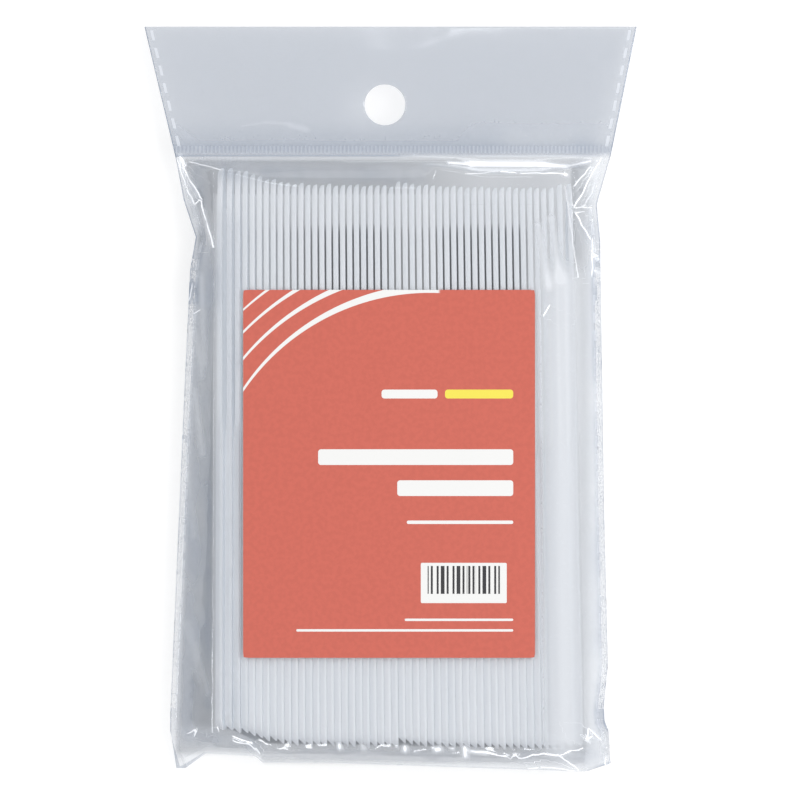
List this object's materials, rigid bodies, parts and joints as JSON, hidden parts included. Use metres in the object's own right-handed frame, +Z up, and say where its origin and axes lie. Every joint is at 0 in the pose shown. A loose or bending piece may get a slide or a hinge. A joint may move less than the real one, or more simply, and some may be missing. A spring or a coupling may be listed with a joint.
{
  "type": "plastic cutlery pack",
  "caption": "Clear film header bag with a round hang hole, holding a fanned row of white plastic table knives on edge under a plain coral paper label.",
  "frame": {"origin": "middle of the bag's outline, on the face that the pack lies on", "axes": "+X across the row of knives, to the right with the header away from the viewer; +Y along the pack from the folded bottom to the header; +Z up, out of the labelled front"},
  "size_m": [0.145, 0.2196, 0.0192],
  "materials": {
    "clear_film": "clear polypropylene film, glossy, lightly wrinkled",
    "coral_paper": "printed paper label, satin",
    "white_plastic": "white moulded polypropylene, satin, slightly translucent"
  },
  "bodies": {
    "root": {"film_bag": "clear_film", "label": "coral_paper", "knife_01": "white_plastic", "knife_02": "white_plastic", "knife_03": "white_plastic", "knife_04": "white_plastic", "knife_05": "white_plastic", "knife_06": "white_plastic", "knife_07": "white_plastic", "knife_08": "white_plastic", "knife_09": "white_plastic", "knife_10": "white_plastic", "knife_11": "white_plastic", "knife_12": "white_plastic", "knife_13": "white_plastic", "knife_14": "white_plastic", "knife_15": "white_plastic", "knife_16": "white_plastic", "knife_17": "white_plastic", "knife_18": "white_plastic", "knife_19": "white_plastic", "knife_20": "white_plastic", "knife_21": "white_plastic", "knife_22": "white_plastic", "knife_23": "white_plastic", "knife_24": "white_plastic", "knife_25": "white_plastic", "knife_26": "white_plastic", "knife_27": "white_plastic", "knife_28": "white_plastic", "knife_29": "white_plastic", "knife_30": "white_plastic", "knife_31": "white_plastic", "knife_32": "white_plastic", "knife_33": "white_plastic", "knife_34": "white_plastic", "knife_35": "white_plastic", "knife_36": "white_plastic", "knife_37": "white_plastic", "knife_38": "white_plastic", "knife_39": "white_plastic", "knife_40": "white_plastic", "knife_41": "white_plastic", "knife_42": "white_plastic", "knife_43": "white_plastic", "knife_44": "white_plastic", "knife_45": "white_plastic", "knife_46": "white_plastic", "knife_47": "white_plastic", "knife_48": "white_plastic", "knife_49": "white_plastic", "knife_50": "white_plastic"}
  },
  "joints": []
}
